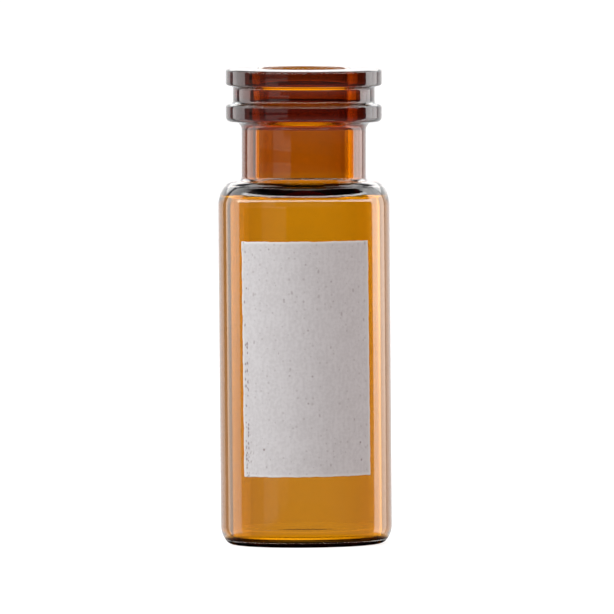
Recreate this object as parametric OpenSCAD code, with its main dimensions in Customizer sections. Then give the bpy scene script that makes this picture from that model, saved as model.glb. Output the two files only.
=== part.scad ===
// Glass sample vial with a two-ring snap cap finish and a printed write-on patch.
// Millimetres. The base stands on z = 0, the axis is Z, and the patch faces -Y.

/* [Overall] */
// Height from the base to the rim
vial_h = 32.2; // [27:0.1:45]
// Outer diameter of the body
body_d = 11.6; // [11.5:0.1:16]

/* [Body] */
// Thickness of the body wall
wall_t = 0.8; // [0.6:0.05:1.2]
// Thickness of the floor over the standing ring
floor_t = 0.65; // [0.5:0.05:1.5]
// How far the middle of the floor rises inside
floor_rise = 0.1; // [0.05:0.05:0.3]
// How far the middle of the base is pushed up
push_up = 0.15; // [0.05:0.05:0.3]
// Diameter of the pushed-up middle of the base, and of the rise above it
push_up_d = 7.6; // [5:0.1:8.4]
// Broad radius of the heel, where it leaves the wall
heel_side_r = 1.7; // [1.2:0.05:2.2]
// Tight radius of the heel, where it meets the standing ring
heel_foot_r = 0.7; // [0.4:0.05:1]
// Radius between the inner wall and the floor
floor_corner_r = 0.25; // [0.1:0.05:0.8]

/* [Shoulder] */
// Broad radius of the shoulder, where it leaves the wall
shoulder_side_r = 2.3; // [1.2:0.05:2.5]
// Tight radius of the shoulder, where it turns in to the neck
shoulder_top_r = 0.8; // [0.4:0.05:1]
// Radius between the inner wall and the ceiling of the cavity
ceiling_corner_r = 0.25; // [0.1:0.05:0.6]
// Radius where the ceiling turns up into the bore
throat_r = 1.1; // [0.5:0.05:1.2]

/* [Neck] */
// Outer diameter of the neck
neck_d = 8.42; // [8:0.02:8.6]
// Bore of the neck and mouth
bore_d = 6.1; // [5:0.1:6.6]
// Height of the neck between the shoulder and the snap ring
neck_h = 4; // [2:0.1:6]
// Fillet between the neck and the shoulder
neck_foot_r = 0.35; // [0.1:0.05:0.5]
// Fillet between the neck and the snap ring
neck_top_r = 0.45; // [0.1:0.05:0.6]

/* [Cap finish] */
// Outer diameter of the crimp ring and the snap ring
ring_d = 10.56; // [10.4:0.02:11]
// Diameter at the bottom of the groove between the rings
groove_d = 9.6; // [9.2:0.05:9.7]
// Height of the crimp ring, which carries the rim
crimp_ring_h = 1.12; // [0.9:0.02:1.6]
// Height of the groove
groove_h = 1.3; // [0.8:0.05:2]
// Height of the snap ring
snap_ring_h = 1.2; // [1:0.05:1.6]
// Radius on the edges of the rings and of the rim
ring_edge_r = 0.27; // [0.1:0.01:0.3]
// Radius on the lower edge of the snap ring
snap_edge_r = 0.4; // [0.1:0.05:0.5]
// Fillet in the corners of the groove
groove_fillet_r = 0.12; // [0.05:0.01:0.15]

/* [Write-on patch] */
// Width of the patch, measured round the wall
patch_w = 9.48; // [4:0.02:16]
// Thickness of the fired enamel
patch_t = 0.05; // [0.03:0.01:0.1]
// Bare wall between the shoulder and the patch
patch_top_gap = 2.15; // [0.5:0.05:4]
// Bare wall between the heel and the patch
patch_foot_gap = 3.45; // [0.5:0.05:5]

/* [Hidden] */
$fn = 96;

body_r = body_d / 2;
inner_r = body_r - wall_t;
neck_r = neck_d / 2;
bore_r = bore_d / 2;
ring_r = ring_d / 2;
groove_r = groove_d / 2;

// Direction, from their centres, in which the two radii of an outer corner meet
blend = [0.8, 0.6];

// Height and width taken by a corner of two radii, the broad one on the side
function corner_h(side_r, end_r) = end_r + (side_r - end_r) * blend.y;
function corner_w(side_r, end_r) = side_r - (side_r - end_r) * blend.x;

// Heights, from the rim down
groove_top_z = vial_h - crimp_ring_h;
snap_top_z = groove_top_z - groove_h;
neck_top_z = snap_top_z - snap_ring_h;
shoulder_z = neck_top_z - neck_h;
wall_top_z = shoulder_z - corner_h(shoulder_side_r, shoulder_top_r);
wall_foot_z = corner_h(heel_side_r, heel_foot_r);

// Each fillet ends where the surface that it runs out on begins to round off
shoulder_flat = body_r - corner_w(shoulder_side_r, shoulder_top_r) - neck_r;
foot_fillet_r = min(neck_foot_r, shoulder_flat);
top_fillet_r = min(neck_top_r, ring_r - snap_edge_r - neck_r);
groove_fillet = min(groove_fillet_r, ring_r - ring_edge_r - groove_r);

// The ceiling of the cavity slopes up from its corner to the throat. Its normal is slope.
slope = [0.28, 0.96];
bore_foot_z = shoulder_z + neck_foot_r;
throat_centre = [bore_r + throat_r, bore_foot_z];
throat_meet = throat_centre - throat_r * slope;
ceiling_edge_r = inner_r - ceiling_corner_r * (1 - slope.x);
ceiling_drop = (ceiling_edge_r - throat_meet.x) * slope.x / slope.y;
corner_meet = [ceiling_edge_r, throat_meet.y - ceiling_drop];
corner_centre = corner_meet - ceiling_corner_r * slope;

// Radius of the ball whose shallow cap has this diameter and rise
function cap_ball_r(d, rise) = (pow(d / 2, 2) + pow(rise, 2)) / (2 * rise);

patch_z = wall_foot_z + patch_foot_gap;
patch_h = wall_top_z - patch_top_gap - patch_z;
patch_angle = patch_w / body_r * 180 / PI;

// A length longer than any radius here, for cutting shapes
reach = body_d;

// What rounds off an outer corner at the origin, on a solid below and left of it.
// The broad radius runs up the side, and the tight one turns in under the end.
module corner_relief(side_r, end_r) {
    w = corner_w(side_r, end_r);
    h = corner_h(side_r, end_r);
    end_centre = [-w, -end_r];
    far_point = end_centre + reach * blend;
    near_point = end_centre - reach * blend;
    difference() {
        translate([-w, -h])
            square([w, h]);
        translate(end_centre)
            circle(end_r);
        intersection() {
            translate([-side_r, -h])
                circle(side_r);
            polygon([near_point, [far_point.x, near_point.y], far_point]);
        }
    }
}

// What rounds off an outer corner at the origin by a single radius
module edge_relief(r) {
    difference() {
        translate([-r, -r])
            square(r);
        translate([-r, -r])
            circle(r);
    }
}

// What fills an inner corner at the origin, between a floor and a wall on its left
module fillet(r) {
    difference() {
        square(r);
        translate([r, r])
            circle(r);
    }
}

// A shallow cap of a large ball, which rises from the origin's level to its middle
module cap(d, rise) {
    ball_r = cap_ball_r(d, rise);
    translate([0, rise - ball_r])
        circle(ball_r, $fn = 360);
}

// A disc of the finish or body in half section, between two heights
module slab(r, z_low, z_high) {
    translate([0, z_low])
        square([r, z_high - z_low]);
}

module body_profile() {
    difference() {
        slab(body_r, 0, shoulder_z);
        translate([body_r, shoulder_z])
            corner_relief(shoulder_side_r, shoulder_top_r);
        translate([body_r, 0])
            mirror([0, 1])
                corner_relief(heel_side_r, heel_foot_r);
        cap(push_up_d, push_up);
    }
}

module ring_profile(z_low, z_high, low_edge_r) {
    difference() {
        slab(ring_r, z_low, z_high);
        translate([ring_r, z_high])
            edge_relief(ring_edge_r);
        translate([ring_r, z_low])
            mirror([0, 1])
                edge_relief(low_edge_r);
    }
}

module neck_profile() {
    slab(neck_r, shoulder_z, neck_top_z);
    slab(groove_r, snap_top_z, groove_top_z);
    translate([neck_r, shoulder_z])
        fillet(foot_fillet_r);
    translate([neck_r, neck_top_z])
        mirror([0, 1])
            fillet(top_fillet_r);
    translate([groove_r, snap_top_z])
        fillet(groove_fillet);
    translate([groove_r, groove_top_z])
        mirror([0, 1])
            fillet(groove_fillet);
}

module cavity_profile() {
    difference() {
        slab(inner_r, floor_t, corner_centre.y);
        translate([inner_r, floor_t])
            mirror([0, 1])
                edge_relief(floor_corner_r);
        translate([0, floor_t])
            cap(push_up_d, floor_rise);
    }
    translate(corner_centre)
        circle(ceiling_corner_r);
    difference() {
        polygon([
            [0, corner_centre.y],
            corner_centre,
            corner_meet,
            throat_meet,
            [bore_r, bore_foot_z],
            [0, bore_foot_z]
        ]);
        translate(throat_centre)
            circle(throat_r);
    }
    slab(bore_r, bore_foot_z, vial_h);
    translate([bore_r, vial_h])
        mirror([1, 0])
            edge_relief(ring_edge_r);
}

// One piece of tubing glass: base, wall, shoulder, neck and both rings
module glass_vial() {
    color([0.72, 0.44, 0.06, 0.6])
        rotate_extrude()
            difference() {
                union() {
                    body_profile();
                    neck_profile();
                    ring_profile(neck_top_z, snap_top_z, snap_edge_r);
                    ring_profile(groove_top_z, vial_h, ring_edge_r);
                }
                cavity_profile();
            }
}

// The enamel lies on the wall, centred on the front
module write_on_patch() {
    color([0.82, 0.81, 0.81])
        rotate([0, 0, -90 - patch_angle / 2])
            rotate_extrude(angle = patch_angle)
                translate([body_r, patch_z])
                    square([patch_t, patch_h]);
}

glass_vial();
write_on_patch();
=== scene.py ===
import math

import bpy
import numpy as np
from mathutils import Matrix, Vector


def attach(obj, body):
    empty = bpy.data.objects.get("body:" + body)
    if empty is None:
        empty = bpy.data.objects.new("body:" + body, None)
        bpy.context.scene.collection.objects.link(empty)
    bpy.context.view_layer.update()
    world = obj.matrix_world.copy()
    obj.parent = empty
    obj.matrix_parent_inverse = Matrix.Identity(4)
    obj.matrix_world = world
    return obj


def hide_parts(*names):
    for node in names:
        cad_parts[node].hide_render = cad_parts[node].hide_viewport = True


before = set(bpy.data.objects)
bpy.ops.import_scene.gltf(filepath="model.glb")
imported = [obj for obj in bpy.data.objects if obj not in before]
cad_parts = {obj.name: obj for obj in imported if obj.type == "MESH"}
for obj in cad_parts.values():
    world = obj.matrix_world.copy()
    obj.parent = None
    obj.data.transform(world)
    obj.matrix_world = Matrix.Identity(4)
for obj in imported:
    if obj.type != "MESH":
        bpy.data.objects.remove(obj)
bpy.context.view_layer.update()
print("frame loaded")

mm = 0.001


# Camera: a long lens a little above the vial, turned one degree off the patch

view = {
    "aimHeight": 16.02,  # height on the vial's axis that the picture's centre is level with
    "aimRight": 0.157,  # how far right of the axis the picture's centre lies
    "distance": 850.0,
    "azimuth": 1.0,  # degrees, towards the vial's left
    "elevation": 2.3,
    "roll": -0.465,
    "pixelsPerMm": 14.785,
    "pictureSize": 614,
}


def placeCamera(v):
    turn = math.radians(v["azimuth"])
    lift = math.radians(v["elevation"])
    outward = Vector((-math.sin(turn) * math.cos(lift), -math.cos(turn) * math.cos(lift), math.sin(lift)))
    right = Vector((math.cos(turn), -math.sin(turn), 0))
    up = outward.cross(right)
    aim = right * v["aimRight"] + Vector((0, 0, v["aimHeight"]))
    place = (aim + outward * v["distance"]) * mm
    lens = bpy.data.cameras.new("product_camera")
    lens.sensor_width = 36
    lens.lens = v["pixelsPerMm"] * lens.sensor_width * v["distance"] / v["pictureSize"]
    lens.clip_start = 0.01
    lens.clip_end = 50
    camera = bpy.data.objects.new("product_camera", lens)
    axes = Matrix((right, up, outward)).transposed().to_4x4()
    roll = Matrix.Rotation(math.radians(v["roll"]), 4, "Z")
    camera.matrix_world = Matrix.Translation(place) @ axes @ roll
    bpy.context.scene.collection.objects.link(camera)
    bpy.context.scene.camera = camera


placeCamera(view)
print("camera placed")


# Shader helpers: Wire carries one output through ordinary Python maths, Sheet adds the nodes


class Wire:
    def __init__(self, sheet, socket):
        self.sheet = sheet
        self.socket = socket

    def maths(self, operation, *values):
        return self.sheet.node("Math", {"operation": operation}, dict(enumerate(values)))

    def __add__(self, other):
        return self.maths("ADD", self, other)

    def __sub__(self, other):
        return self.maths("SUBTRACT", self, other)

    def __mul__(self, other):
        return self.maths("MULTIPLY", self, other)

    def __truediv__(self, other):
        return self.maths("DIVIDE", self, other)

    def __radd__(self, other):
        return self.maths("ADD", other, self)

    def __rsub__(self, other):
        return self.maths("SUBTRACT", other, self)

    def __rmul__(self, other):
        return self.maths("MULTIPLY", other, self)

    def twin(self, out):  # another output of the same node
        return Wire(self.sheet, self.socket.node.outputs[out])

    def between(self, low, high):  # 0 at low, 1 at high, eased at both ends
        settings = {"interpolation_type": "SMOOTHSTEP"}
        inputs = {"Value": self, "From Min": low, "From Max": high, "To Min": 0.0, "To Max": 1.0}
        return self.sheet.node("MapRange", settings, inputs)

    def step(self, middle, soft):  # 0 below, 1 above, eased over soft about the middle
        return self.between(middle - soft / 2, middle + soft / 2)

    def band(self, low, high, soft):  # 1 from low to high, easing to 0 over soft at each end
        return self.step(low, soft) * (1 - self.step(high, soft))


class Sheet:
    def __init__(self, owner):
        owner.use_nodes = True
        self.tree = owner.node_tree
        self.tree.nodes.clear()

    def node(self, kind, settings=None, inputs=None, out=0):
        made = self.tree.nodes.new("ShaderNode" + kind)
        for name, value in (settings or {}).items():
            setattr(made, name, value)
        for name, value in (inputs or {}).items():
            if isinstance(value, Wire):
                self.tree.links.new(value.socket, made.inputs[name])
            else:
                made.inputs[name].default_value = value
        return Wire(self, made.outputs[out]) if made.outputs else None

    def ray(self, kind):  # 1 for rays of this kind
        made = self.tree.nodes.new("ShaderNodeLightPath")
        return Wire(self, made.outputs[kind])

    def height(self):  # metres above the ground, from Object coordinates
        place = self.node("TexCoord", out=3)
        return self.node("SeparateXYZ", inputs={0: place}, out=2)

    def stretched(self, place, across, up):  # the same place with its two directions scaled
        return self.node("VectorMath", {"operation": "MULTIPLY"}, {0: place, 1: (across, up, 1)})

    def noise(self, place, scale, detail=2.0):  # soft noise about 0.5, with this many features per unit
        inputs = {"Vector": place, "Scale": scale, "Detail": detail, "Roughness": 0.5}
        return self.node("TexNoise", {"noise_dimensions": "2D"}, inputs)

    def mixColour(self, factor, first, second):
        made = self.tree.nodes.new("ShaderNodeMix")
        made.data_type = "RGBA"
        for slot, value in ((0, factor), (6, first), (7, second)):
            if isinstance(value, Wire):
                self.tree.links.new(value.socket, made.inputs[slot])
            else:
                made.inputs[slot].default_value = value
        return Wire(self, made.outputs[2])


# Shared mesh maker: points and faces as arrays


def makePiece(name, points, faces, material):
    mesh = bpy.data.meshes.new(name)
    mesh.from_pydata(points.tolist(), [], faces)
    mesh.polygons.foreach_set("use_smooth", np.ones(len(mesh.polygons), bool))
    mesh.materials.append(material)
    mesh.update()
    piece = bpy.data.objects.new(name, mesh)
    bpy.context.scene.collection.objects.link(piece)
    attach(piece, "root")
    return piece


# The vial: one profile of arcs turned round Z, in millimetres, under the names of the solid's sizes

vial = {
    "height": 32.19,
    "bodyRadius": 5.8,
    "wall": 0.8,
    "floor": 0.55,  # glass over the standing ring
    "floorRise": 0.15,  # how far the middle of the floor rises inside
    "floorCorner": 0.38,
    "pushUp": 0.14,  # and how far the middle of the base is pushed up
    "pushUpReach": 3.5,
    "heelBroad": 1.62,
    "heelTight": 0.77,
    "shoulderBroad": 2.3,
    "shoulderTight": 0.8,
    "ceilingCorner": 0.25,
    "throat": 1.1,
    "neckRadius": 4.21,
    "boreRadius": 3.05,
    "neckHeight": 3.98,
    "neckFoot": 0.31,
    "neckTop": 0.55,
    "ringRadius": 5.28,
    "grooveRadius": 4.8,
    "crimpRing": 1.17,
    "groove": 1.24,
    "snapRing": 1.23,
    "rimEdge": 0.27,  # at the mouth
    "rimCrest": 3.97,  # radius at which the rim is highest
    "rimFall": 0.035,  # from there to its outer edge
    "crimpTopEdge": 0.18,
    "crimpLowEdge": 0.15,
    "snapTopEdge": 0.24,
    "snapLowEdge": 0.32,
    "grooveFillet": 0.25,
    "blend": math.atan2(0.6, 0.8),  # lift of the direction in which two radii of an outer corner meet
    "ceilingLift": math.atan2(0.96, 0.28),  # lift of the inner shoulder's normal
    "leans": [  # degrees to the right, degrees towards the front, heights between which each sets in
        (0.46, 0.0, 22.0, 24.4),  # shoulder and neck
        (0.0, 1.2, 29.6, 31.0),  # crimp ring
    ],
    "capSteps": 14,
    "arcSteps": 12,
    "turnSteps": 320,
    "glassAbsorption": (485.0, 855.0, 3000.0),  # per metre, red green blue
    "glassTint": (1.0, 0.83, 0.50, 1),
    "struck": [  # the finish was heated longest and struck darker: heights over which each tint sets in
        (24.6, 25.4, (0.93, 0.66, 0.08, 1)),  # neck
        (28.3, 28.8, (0.72, 0.39, 0.12, 1)),  # snap ring
        (29.7, 29.9, (0.82, 0.48, 0.13, 1)),  # groove
        (31.0, 31.2, (0.80, 0.58, 0.20, 1)),  # crimp ring
    ],
    "ior": 1.5,
}


def outerArcs(v):
    # every arc is centre r, centre z, radius, start angle, end angle, from the base up to the mouth
    grooveTop = v["height"] - v["crimpRing"]
    snapTop = grooveTop - v["groove"]
    neckTop = snapTop - v["snapRing"]
    shoulder = neckTop - v["neckHeight"]
    quarter = math.pi / 2
    lift, across, up = v["blend"], math.cos(v["blend"]), math.sin(v["blend"])
    heelBroad, heelTight = v["heelBroad"], v["heelTight"]
    heelStep = heelBroad - heelTight
    heelAxis = v["bodyRadius"] - heelBroad
    broad, tight = v["shoulderBroad"], v["shoulderTight"]
    shoulderStep = broad - tight
    shoulderAxis = v["bodyRadius"] - broad
    tightHeight = shoulder - tight
    neck, neckFoot, neckTopFillet = v["neckRadius"], v["neckFoot"], v["neckTop"]
    ring, edge = v["ringRadius"], v["rimEdge"]
    crimpTop, crimpLow = v["crimpTopEdge"], v["crimpLowEdge"]
    snapTopEdge, snapLow = v["snapTopEdge"], v["snapLowEdge"]
    fillet, filletAxis = v["grooveFillet"], v["grooveRadius"] + v["grooveFillet"]
    # from its crest the rim falls outwards on a large ball, down to the crimp ring's edge
    rimRun = ring - crimpTop - v["rimCrest"]
    ball = (rimRun**2 + v["rimFall"]**2) / (2 * v["rimFall"]) + crimpTop
    tip = math.asin(rimRun / (ball - crimpTop))
    edgeHeight = v["height"] - ball + (ball - crimpTop) * math.cos(tip)
    return [
        (heelAxis + heelStep * across, heelTight, heelTight, -quarter, -lift),
        (heelAxis, heelTight + heelStep * up, heelBroad, -lift, 0),
        (shoulderAxis, tightHeight - shoulderStep * up, broad, 0, lift),
        (shoulderAxis + shoulderStep * across, tightHeight, tight, lift, quarter),
        (neck + neckFoot, shoulder + neckFoot, neckFoot, -quarter, -2 * quarter),
        (neck + neckTopFillet, neckTop - neckTopFillet, neckTopFillet, 2 * quarter, quarter),
        (ring - snapLow, neckTop + snapLow, snapLow, -quarter, 0),
        (ring - snapTopEdge, snapTop - snapTopEdge, snapTopEdge, 0, quarter),
        (filletAxis, snapTop + fillet, fillet, -quarter, -2 * quarter),
        (filletAxis, grooveTop - fillet, fillet, 2 * quarter, quarter),
        (ring - crimpLow, grooveTop + crimpLow, crimpLow, -quarter, 0),
        (ring - crimpTop, edgeHeight, crimpTop, 0, quarter - tip),
        (v["rimCrest"], v["height"] - ball, ball, quarter - tip, quarter),
        (v["boreRadius"] + edge, v["height"] - edge, edge, quarter, 2 * quarter),
    ]


def innerArcs(v):
    # down the bore, out along the sloping ceiling, and down the wall to the floor
    quarter = math.pi / 2
    shoulder = v["height"] - v["crimpRing"] - v["groove"] - v["snapRing"] - v["neckHeight"]
    boreFoot = shoulder + v["neckFoot"]
    lift = v["ceilingLift"]
    slope = math.tan(quarter - lift)
    across, up = math.cos(lift), math.sin(lift)
    inner = v["bodyRadius"] - v["wall"]
    corner, low, throat = v["ceilingCorner"], v["floorCorner"], v["throat"]
    throatAxis, cornerAxis = v["boreRadius"] + throat, inner - corner
    run = cornerAxis + corner * across - (throatAxis - throat * across)
    cornerHeight = boreFoot - throat * up - run * slope - corner * up
    return [
        (throatAxis, boreFoot, throat, 2 * quarter, 2 * quarter + lift),
        (cornerAxis, cornerHeight, corner, lift, 0),
        (inner - low, v["floor"] + low, low, 0, -quarter),
    ]


def shallowCap(reach, rise, steps):
    # height of a ball's cap at even steps of radius from the axis out to reach
    ball = (reach**2 + rise**2) / (2 * rise)
    radii = np.linspace(0, reach, steps)
    return np.stack([radii, np.sqrt(ball**2 - radii**2) - ball + rise], 1)


def vialProfile(v):
    # centre plus radius times the cosine and sine of an angle that runs evenly from start to end
    runs = [shallowCap(v["pushUpReach"], v["pushUp"], v["capSteps"])]
    for r, z, radius, start, end in outerArcs(v) + innerArcs(v):
        angle = np.linspace(start, end, v["arcSteps"] + 1)
        runs.append(np.stack([r + radius * np.cos(angle), z + radius * np.sin(angle)], 1))
    rise = shallowCap(v["pushUpReach"], v["floorRise"], v["capSteps"])
    runs.append(rise[::-1] + (0, v["floor"]))
    return np.concatenate(runs)


def turnedFaces(rows, columns):
    # quads between neighbouring rings, and a fan at each pole; the poles are the last two points
    ring = np.arange(rows * columns).reshape(rows, columns)
    onward = np.roll(ring, -1, 1)
    quads = np.stack([ring[:-1], onward[:-1], onward[1:], ring[1:]], -1).reshape(-1, 4)
    low = np.stack([np.full(columns, rows * columns), onward[0], ring[0]], -1)
    high = np.stack([np.full(columns, rows * columns + 1), ring[-1], onward[-1]], -1)
    return quads.tolist() + low.tolist() + high.tolist()


def leaned(points, v):
    # each lean turns what lies above it about the axis at its middle height, eased in by a smooth step
    x, y, z = points.T
    for right, front, low, high in v["leans"]:
        part = np.clip((z - low) / (high - low), 0, 1)
        part = part * part * (3 - 2 * part)
        right, front = part * math.radians(right), part * math.radians(front)
        over = z - (low + high) / 2
        x, y, z = x + over * right, y - over * front, z + y * front - x * right
    return np.stack([x, y, z], 1)


def buildVial(v):
    # x = r cos turn, y = r sin turn, z = z for each profile point (r, z)
    profile = vialProfile(v)
    body = profile[1:-1]
    turn = np.linspace(0, 2 * np.pi, v["turnSteps"], endpoint=False)
    r = body[:, :1]
    z = np.repeat(body[:, 1:], len(turn), 1)
    points = np.stack([r * np.cos(turn), r * np.sin(turn), z], -1).reshape(-1, 3)
    poles = np.array([[0, 0, profile[0, 1]], [0, 0, profile[-1, 1]]])
    points = leaned(np.concatenate([points, poles]), v) * mm
    faces = turnedFaces(len(body), len(turn))
    piece = makePiece("amber_vial", points, faces, amberGlass(v))
    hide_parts("glass_vial")
    return piece


def amberGlass(v):
    # the body colour comes from depth; each surface that light crosses adds the tint of its height
    material = bpy.data.materials.new("amber_glass")
    sheet = Sheet(material)
    strongest = max(v["glassAbsorption"]) * 1.05  # a little over, so that no channel is cut off
    passed = [1 - a / strongest for a in v["glassAbsorption"]]
    height = sheet.height() * (1 / mm)
    tint = v["glassTint"]
    for low, high, colour in v["struck"]:
        tint = sheet.mixColour(height.between(low, high), tint, colour)
    inputs = {"Base Color": tint, "Roughness": 0.0, "IOR": v["ior"], "Transmission Weight": 1.0}
    glass = sheet.node("BsdfPrincipled", inputs=inputs)
    depth = sheet.node("VolumeAbsorption", inputs={"Color": (*passed, 1), "Density": strongest})
    sheet.node("OutputMaterial", inputs={"Surface": glass, "Volume": depth})
    return material


buildVial(vial)
print("vial turned")


# The write-on patch: a thin enamel skin on the front of the wall, printed slightly out of square

patch = {
    "width": 9.48,  # round the wall
    "foot": 4.75,
    "top": 20.73,
    "wallRadius": 5.8,
    "gap": 0.003,  # between the wall and the skin's back
    "thickness": 0.05,
    "relief": 0.00002,  # depth of its bump, in metres
    "columns": 150,
    "rows": 250,
    # how far each edge lies inside its straight line at its start and end, and the height of its ripples
    "leftEdge": (0.060, -0.025, 0.014),
    "rightEdge": (0.005, 0.075, 0.009),
    "footEdge": (0.025, 0.090, 0.010),
    "topEdge": (0.105, 0.095, 0.011),
    "pale": (0.565, 0.540, 0.540, 1),
    "dull": (0.505, 0.478, 0.478, 1),
    # painted highlight: the lighter colour laid along the patch's edge
    "edgeHighlightColour": (0.700, 0.675, 0.660, 1),
    "pitColour": (0.240, 0.190, 0.190, 1),
    "roughness": (0.7, 0.2),  # and what the grain adds
    "grain": (4.5, 3.0),  # features per millimetre, detail
    "threads": (5.0, 1.2, 0.5),  # features per millimetre across and up, weight beside the grain's
    "clouds": (0.7, 0.4),  # features per millimetre, weight beside the grain's
    "toneSpan": (0.36, 0.64),  # of the weighed noise, from dull to pale
    "rimReach": (0.02, 0.22),  # from the edge, where the raised rim and the painted highlight along it start to fade and end
    "rimBreak": 0.2,  # how far the grain shifts that
    # how strongly the painted highlight lightens the edge
    "edgeHighlightTone": 0.75,
    "rimRelief": 0.6,
    "specks": [  # cell across and up, share of the cells, radius in cells, depth of tone
        ((0.50, 0.50), 0.40, 0.17, 0.30),
        ((0.9, 1.6), 0.30, 0.09, 0.45),
    ],
    "nickCell": (0.19, 0.26),
    "nickRadius": 0.50,  # of a cell
    "nickShare": (0.12, 0.4, 0.2),  # of the cells: everywhere, added in the lower half, added at the foot
    "nickLower": (8.0, 11.5),
    "nickFoot": (0.5, 4.0),
    "nickBand": (0.17, 0.50, 0.12),  # from and to, from the left edge, and its softness
    "nickTone": 0.9,
    "scratchCell": (0.11, 0.50),  # across and along the slant
    "scratchRadius": 0.38,
    "scratchShare": 0.55,
    "scratchSlant": 0.45,  # radians
    "scratchAcross": (0.25, 0.85, 0.3),  # the corner that they lie in
    "scratchUp": (0.35, 1.9, 0.8),
    "scratchTone": 0.75,
    "pitEdge": 0.3,  # share of a pit's radius that is fully dark
    "pits": [  # across from the left edge, up from the foot, radius, depth of tone
        (2.26, 15.48, 0.10, 0.6),
        (0.34, 15.28, 0.12, 0.6),
        (4.75, 14.42, 0.09, 0.5),
        (6.50, 13.25, 0.10, 0.5),
        (3.28, 12.05, 0.10, 0.6),
        (3.29, 11.92, 0.10, 0.5),
        (6.62, 11.90, 0.09, 0.4),
        (4.88, 9.95, 0.10, 0.5),
        (8.93, 9.20, 0.09, 0.4),
        (2.46, 11.18, 0.09, 0.4),
        (3.59, 6.90, 0.10, 0.5),
        (5.12, 6.83, 0.10, 0.6),
        (4.84, 5.00, 0.10, 0.6),
        (8.60, 2.25, 0.11, 0.8),
        (8.68, 1.06, 0.12, 0.8),
        (1.69, 1.86, 0.12, 0.9),
        (3.76, 3.32, 0.10, 0.4),
    ],
}


def wavyEdge(along, edge, seed, count=12):
    # a line between the two insets, plus count sine waves of random length and start
    start, end, height = edge
    random = np.random.default_rng(seed)
    lengths = random.uniform(0.3, 4.0, (count, 1))
    starts = random.uniform(0, 2 * np.pi, (count, 1))
    waves = np.sin(2 * np.pi * along / lengths + starts).sum(0) / math.sqrt(count / 2)
    return start + (end - start) * along / along[-1] + height * waves


def buildPatch(p):
    # angle = across / wallRadius; the skin lies at wallRadius plus its thickness, between wavy edges
    tall = p["top"] - p["foot"]
    flatAcross = np.linspace(0, p["width"], p["columns"])
    flatUp = np.linspace(0, tall, p["rows"])
    left = wavyEdge(flatUp, p["leftEdge"], 1)[:, None]
    right = p["width"] - wavyEdge(flatUp, p["rightEdge"], 2)[:, None]
    foot = wavyEdge(flatAcross, p["footEdge"], 3)
    top = tall - wavyEdge(flatAcross, p["topEdge"], 4)
    across = left + (right - left) * flatAcross / p["width"] - p["width"] / 2
    height = p["foot"] + foot + (top - foot) * flatUp[:, None] / tall
    angle = across / p["wallRadius"]
    inner = p["wallRadius"] + p["gap"]
    outer = p["wallRadius"] + p["thickness"]
    skins = [np.stack([r * np.sin(angle), -r * np.cos(angle), height], -1) for r in (outer, inner)]
    points = np.concatenate(skins).reshape(-1, 3) * mm
    front = np.arange(p["columns"] * p["rows"]).reshape(p["rows"], p["columns"])
    back = front + front.size
    quads = [
        np.stack([front[:-1, :-1], front[:-1, 1:], front[1:, 1:], front[1:, :-1]], -1),
        np.stack([back[:-1, :-1], back[1:, :-1], back[1:, 1:], back[:-1, 1:]], -1),
        np.stack([front[0, 1:], front[0, :-1], back[0, :-1], back[0, 1:]], -1),
        np.stack([front[-1, :-1], front[-1, 1:], back[-1, 1:], back[-1, :-1]], -1),
        np.stack([front[:-1, 0], front[1:, 0], back[1:, 0], back[:-1, 0]], -1),
        np.stack([front[1:, -1], front[:-1, -1], back[:-1, -1], back[1:, -1]], -1),
    ]
    faces = np.concatenate([q.reshape(-1, 4) for q in quads]).tolist()
    piece = makePiece("enamel_patch", points, faces, patchEnamel(p))
    flat = np.stack(np.broadcast_arrays(flatAcross, flatUp[:, None]), -1).reshape(-1, 2)
    corners = np.empty(len(piece.data.loops), np.int32)
    piece.data.loops.foreach_get("vertex_index", corners)
    piece.data.uv_layers.new(name="enamel").data.foreach_set("uv", flat[corners % front.size].ravel())
    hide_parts("write_on_patch")
    return piece


def scattered(sheet, place, cell, share, radius):
    # 1 in soft round marks: one in each of a share of the cells, radius in cells, of random size
    inputs = {"Vector": sheet.stretched(place, 1 / cell[0], 1 / cell[1]), "Scale": 1.0, "Randomness": 0.9}
    away = sheet.node("TexVoronoi", {"voronoi_dimensions": "2D"}, inputs)
    chance = sheet.node("SeparateXYZ", inputs={0: away.twin(1)})
    size = radius * (0.5 + chance.twin(1))
    return chance.maths("LESS_THAN", chance, share) * (1 - (away / size).between(0.3, 1.0))


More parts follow.
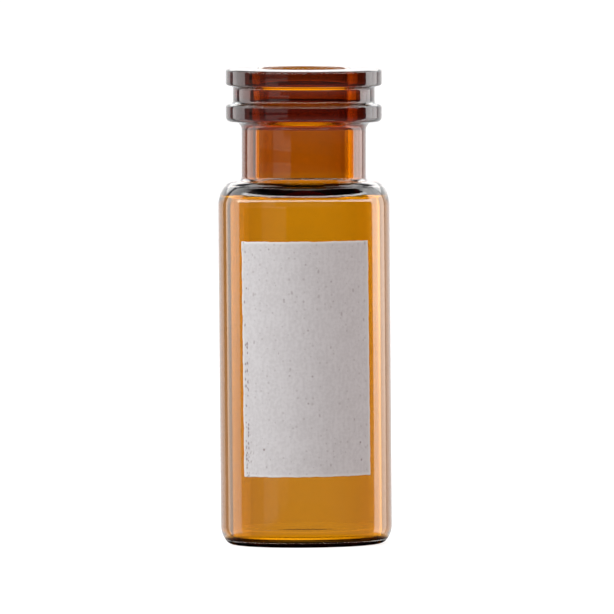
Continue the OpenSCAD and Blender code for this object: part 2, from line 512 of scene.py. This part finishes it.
def patchEnamel(p):
    # pale ground of fine grain and soft clouds, with a painted highlight along its edge; pits, nicks down
    # the left side and scratches show dark
    material = bpy.data.materials.new("patch_enamel")
    sheet = Sheet(material)
    place = sheet.node("UVMap", {"uv_map": "enamel"})
    across = sheet.node("SeparateXYZ", inputs={0: place})
    up = across.twin(1)
    tall = p["top"] - p["foot"]
    grain = sheet.noise(place, *p["grain"])
    threadsAcross, threadsUp, threadWeight = p["threads"]
    threads = sheet.noise(sheet.stretched(place, threadsAcross, threadsUp), 1.0)
    cloudScale, cloudWeight = p["clouds"]
    cloud = sheet.noise(place, cloudScale)
    tone = (grain + threads * threadWeight + cloud * cloudWeight) / (1 + threadWeight + cloudWeight)
    colour = sheet.mixColour(tone.between(*p["toneSpan"]), p["dull"], p["pale"])
    # painted highlight: the edge is lightened in colour, and the same mask raises a rim in the bump; both
    # broken by the grain
    sideways = across.maths("MINIMUM", across, p["width"] - across)
    endways = up.maths("MINIMUM", up, tall - up)
    inset = sideways.maths("MINIMUM", sideways, endways)
    rimAndHighlight = 1 - (inset + (grain - 0.5) * p["rimBreak"]).between(*p["rimReach"])
    colour = sheet.mixColour(rimAndHighlight * p["edgeHighlightTone"], colour, p["edgeHighlightColour"])
    # fine specks everywhere and the larger pits
    spots = [scattered(sheet, place, *layer[:3]) * layer[3] for layer in p["specks"]]
    for x, z, radius, depth in p["pits"]:
        away = sheet.node("VectorMath", {"operation": "DISTANCE"}, {0: place, 1: (x, z, 0)}, out=1)
        spots.append((1 - away.between(radius * p["pitEdge"], radius)) * depth)
    pits = spots[0]
    for spot in spots[1:]:
        pits = pits.maths("MAXIMUM", pits, spot)
    # nicks down the left side, thickest at the foot
    anywhere, lower, lowest = p["nickShare"]
    share = anywhere + lower * (1 - up.between(*p["nickLower"]))
    share = share + lowest * (1 - up.between(*p["nickFoot"]))
    nicks = scattered(sheet, place, p["nickCell"], share, p["nickRadius"]) * across.band(*p["nickBand"])
    # slanting scratches in the corner
    inputs = {"Vector": place, "Angle": p["scratchSlant"]}
    slant = sheet.node("VectorRotate", {"rotation_type": "Z_AXIS"}, inputs)
    corner = across.band(*p["scratchAcross"]) * up.band(*p["scratchUp"])
    scratches = scattered(sheet, slant, p["scratchCell"], p["scratchShare"], p["scratchRadius"]) * corner
    worn = nicks.maths("MAXIMUM", nicks * p["nickTone"], scratches * p["scratchTone"])
    marks = pits.maths("MAXIMUM", pits, worn)
    colour = sheet.mixColour(marks, colour, p["pitColour"])
    relief = grain + rimAndHighlight * p["rimRelief"] - marks
    bump = sheet.node("Bump", inputs={"Strength": 0.35, "Distance": p["relief"], "Height": relief})
    smooth, rougher = p["roughness"]
    inputs = {"Base Color": colour, "Roughness": smooth + grain * rougher, "Normal": bump}
    enamel = sheet.node("BsdfPrincipled", inputs=inputs)
    sheet.node("OutputMaterial", inputs={"Surface": enamel})
    return material


buildPatch(patch)
print("patch laid")


# Studio: a pale floor, a white far wall, and a dim room with soft boxes and strips that only glass shows.
# Bearings are degrees from the far wall's middle, to the right when positive.

studio = {
    "roomLight": 0.62,
    "roomTint": (1.0, 0.86, 0.84, 1),  # only matt surfaces take this warm tint
    "behind": 0.07,  # radiance behind the camera
    "panorama": [  # from this bearing on, this radiance
        (-155, 0.68),  # card at the front left
        (-120, 0.20),
        (-98, 0.35),
        (-81, 2.70),  # left soft box
        (-61.5, 2.95),
        (-57, 3.00),
        (-49, 0.30),
        (-39, 1.20),  # far wall
        (39, 0.80),
        (43.5, 3.15),  # right soft box
        (50, 3.30),
        (60, 4.40),
        (76, 0.15),
        (81.5, 0.03),
        (127, 0.07),
    ],
    "panoramaEdge": 2.0,  # degrees over which one radiance passes into the next
    "boxLift": (0.55, 0.75),  # sine of the lift at which the boxes end
    "vault": [  # under, beyond and over the vial, by degrees above the far wall's foot
        (-150, 1.60),  # table before the vial
        (-120, 0.05),
        (-62, 0.90),
        (-25, 1.20),
        (4, 1.60),
        (18, 4.00),  # low strip on the far wall
        (34, 0.30),
        (50, 3.60),  # overhead soft box
        (80, 0.02),
        (150, 0.20),
    ],
    "vaultEdge": 3.0,
    "vaultHalf": (0.60, 0.66),  # sideways share of the direction at which the vault ends
    "vaultFoot": (0.05, 0.09),  # sine of the lift at which it starts
    "strips": [  # round behind the camera: steepness from and to, radiance
        (0.385, 0.495, 7.5),
        (0.720, 0.850, 9.5),
        (1.80, 3.60, 1.60),
    ],
    "stripSink": 0.174,  # the steepness that they lose towards the sides
    "stripSoft": 0.07,  # softness of their edges, as a share of the lower steepness
    "stripEnd": (0.15, 0.35),  # share of the level direction towards the far wall at which they end
    "crossed": (3.2, 3.8),  # of the four surfaces that two walls have, those to have passed
    "clearBearing": (80.0, 84.0),  # beyond this bearing both walls of a vial pass plain white
    # the floor, in metres from the vial's axis
    "floorReach": 12.0,
    "floorSides": 64,
    "floorDrop": 0.00002,
    "floorGrey": (0.45, 0.45, 0.45, 1),
    "floorWhite": 0.8,  # what the camera sees besides
    "footShade": (0.0058, 0.0070),  # past this distance glass sees light from the floor
    "footSkew": 0.55,  # before the vial its shade reaches further out
    "footFar": (0.05, 0.50),  # distances between which the floor stops dimming what glass sees
    "footDim": 0.72,  # share that passes close to the vial
    # the rings see a dark strip of floor before the vial: from and to, half its width, softness
    "frontDark": (-0.045, -0.012, 0.018, 0.004),
    "frontStart": (-0.012, -0.006),  # where the floor before the vial begins
    "frontFar": (0.80, 0.90, 0.6),  # over these distances the floor there starts to dim, by this share
    "haze": 0.30,  # light that glass sees from the floor itself
    "hazeStart": (0.0050, 0.0065),
    "hazeSkew": 0.25,  # before the vial it starts further out
    "glow": 2.1,  # light gathered under the front of the base
    "glowRing": (0.0018, 0.0042, 0.0006),  # from and to, softness
    "glowBack": (-0.0015, 0.0),  # it ends just before the vial's axis
    "glowSides": (1.6, 0.8, 0.004),  # factor at the left, what it loses to the right, over half this width
}


def stair(angle, before, steps, edge):
    # the radiance steps up or down at each angle, eased over edge degrees
    light = before
    for start, radiance in steps:
        light = angle.step(start, edge) * (radiance - before) + light
        before = radiance
    return light


def buildWorld(s):
    # over is the angle in the upright plane through the camera: 0 far wall, 90 straight up, 180 camera
    world = bpy.data.worlds.new("studio")
    bpy.context.scene.world = world
    sheet = Sheet(world)
    direction = sheet.node("TexCoord", out=0)
    aside = sheet.node("SeparateXYZ", inputs={0: direction})
    behind, above = aside.twin(1), aside.twin(2)
    bearing = aside.maths("ARCTAN2", aside, behind) * math.degrees(1)
    ringed = stair(bearing, s["behind"], s["panorama"], s["panoramaEdge"])
    ringed = ringed * (1 - above.between(*s["boxLift"]))
    over = above.maths("ARCTAN2", above, behind) * math.degrees(1)
    vault = stair(over, s["behind"], s["vault"], s["vaultEdge"])
    steep = above.maths("ABSOLUTE", above).between(*s["vaultFoot"])
    inVault = steep * (1 - aside.maths("ABSOLUTE", aside).between(*s["vaultHalf"]))
    around = ringed + inVault * (vault - ringed)
    # height over level distance, straight behind the camera, and more than that towards the sides
    level = above.maths("SQRT", 1 - above * above)
    steepness = (above + behind * s["stripSink"]) / level + s["stripSink"]
    facing = 1 - (behind / level).between(*s["stripEnd"])
    for low, high, radiance in s["strips"]:
        around = around + steepness.band(low, high, low * s["stripSoft"]) * facing * radiance
    # a ray that has crossed both walls and leaves past the clear bearing sees white
    crossed = sheet.ray("Transmission Depth").between(*s["crossed"])
    clear = crossed * bearing.maths("ABSOLUTE", bearing).between(*s["clearBearing"])
    seenThrough = clear + (1 - clear) * around
    glossy, refracted = sheet.ray("Is Glossy Ray"), sheet.ray("Is Transmission Ray")
    direct = sheet.ray("Is Camera Ray")
    strength = s["roomLight"] + glossy * (around - s["roomLight"])
    strength = strength + refracted * (seenThrough - strength)
    strength = strength + direct * (1 - strength)
    tint = sheet.mixColour(glossy + refracted + direct, s["roomTint"], (1, 1, 1, 1))
    background = sheet.node("Background", inputs={"Color": tint, "Strength": strength})
    sheet.node("OutputWorld", inputs={"Surface": background})


def floorLight(sheet, s):
    # what glass sees at the floor: how much of the room's lower half passes, and the light added
    place = sheet.node("TexCoord", out=3)
    away = sheet.node("VectorMath", {"operation": "LENGTH"}, {0: place}, out=1)
    aside = sheet.node("SeparateXYZ", inputs={0: place})
    forward = aside.twin(1)
    towards = forward.maths("MINIMUM", forward, 0.0)
    near, far = s["footFar"]
    beyond = away.maths("MINIMUM", (away - near) / (far - near), 1.0)
    shade = (away + towards * s["footSkew"]).between(*s["footShade"])
    passed = shade * (s["footDim"] + (1 - s["footDim"]) * beyond)
    nearest, farthest, wide, soft = s["frontDark"]
    dark = 1 - aside.maths("ABSOLUTE", aside).step(wide, soft * 2)
    dark = forward.band(nearest, farthest, soft) * dark
    before = 1 - forward.between(*s["frontStart"])
    start, end, loss = s["frontFar"]
    passed = passed * (1 - dark) * (1 - before * away.between(start, end) * loss)
    most, less, half = s["glowSides"]
    glow = (most - aside.between(-half, half) * less) * s["glow"]
    glow = away.band(*s["glowRing"]) * (1 - forward.between(*s["glowBack"])) * glow
    haze = (away + towards * s["hazeSkew"]).between(*s["hazeStart"]) * (1 - beyond) * s["haze"]
    return passed, haze + glow


def buildFloor(s):
    # a disc that the camera sees pale and shaded; glass sees the room's lower half through it
    sides, reach = s["floorSides"], s["floorReach"]
    turn = np.linspace(0, 2 * np.pi, sides, endpoint=False)
    points = np.stack([reach * np.cos(turn), reach * np.sin(turn), 0 * turn - s["floorDrop"]], -1)
    mesh = bpy.data.meshes.new("floor")
    mesh.from_pydata(points.tolist(), [], [list(range(sides))])
    floor = bpy.data.objects.new("floor", mesh)
    bpy.context.scene.collection.objects.link(floor)
    material = bpy.data.materials.new("floor")
    sheet = Sheet(material)
    passed, light = floorLight(sheet, s)
    matt = sheet.node("BsdfDiffuse", inputs={"Color": s["floorGrey"]})
    pale = sheet.ray("Is Camera Ray") * s["floorWhite"]
    white = sheet.node("Emission", inputs={"Color": (1, 1, 1, 1), "Strength": pale})
    grey = sheet.node("CombineXYZ", inputs={0: passed, 1: passed, 2: passed})
    through = sheet.node("BsdfTransparent", inputs={"Color": grey})
    lit = sheet.node("Emission", inputs={"Color": (1, 1, 1, 1), "Strength": light})
    toEye = sheet.node("AddShader", inputs={0: matt, 1: white})
    toGlass = sheet.node("AddShader", inputs={0: through, 1: lit})
    glossy, refracted = sheet.ray("Is Glossy Ray"), sheet.ray("Is Transmission Ray")
    glassRay = glossy.maths("MAXIMUM", glossy, refracted)
    both = sheet.node("MixShader", inputs={0: glassRay, 1: toEye, 2: toGlass})
    sheet.node("OutputMaterial", inputs={"Surface": both})
    mesh.materials.append(material)


lamps = [  # bearing and lift, width and height in degrees, seen from the middle of the vial
    {
        "name": "soft_key",
        "bearing": -120,
        "lift": 35,
        "wide": 60,
        "tall": 60,
        "radiance": 2.9,
        "tint": (0.88, 0.97, 1.0),
    },
    {
        "name": "side_fill",
        "bearing": 82,
        "lift": 30,
        "wide": 40,
        "tall": 60,
        "radiance": 1.6,
        "tint": (1.0, 1.0, 1.0),
    },
]


def addLamp(spec, distance=0.5, middle=0.016):
    bearing = math.radians(spec["bearing"])
    lift = math.radians(spec["lift"])
    level = math.cos(lift)
    toLamp = Vector((math.sin(bearing) * level, math.cos(bearing) * level, math.sin(lift)))
    data = bpy.data.lights.new(spec["name"], "AREA")
    data.shape = "RECTANGLE"
    data.size = 2 * distance * math.tan(math.radians(spec["wide"] / 2))
    data.size_y = 2 * distance * math.tan(math.radians(spec["tall"] / 2))
    data.energy = spec["radiance"] * math.pi * data.size * data.size_y
    data.color = spec["tint"]
    lamp = bpy.data.objects.new(spec["name"], data)
    place = toLamp * distance + Vector((0, 0, middle))
    lamp.matrix_world = Matrix.Translation(place) @ toLamp.to_track_quat("Z", "Y").to_matrix().to_4x4()
    lamp.visible_camera = False
    lamp.visible_transmission = False
    lamp.visible_glossy = False
    bpy.context.scene.collection.objects.link(lamp)


buildWorld(studio)
buildFloor(studio)
for spec in lamps:
    addLamp(spec)
print("studio lit")

scene = bpy.context.scene
scene.view_settings.view_transform = "Standard"
scene.cycles.max_bounces = 32
scene.cycles.transmission_bounces = 24
scene.cycles.glossy_bounces = 12
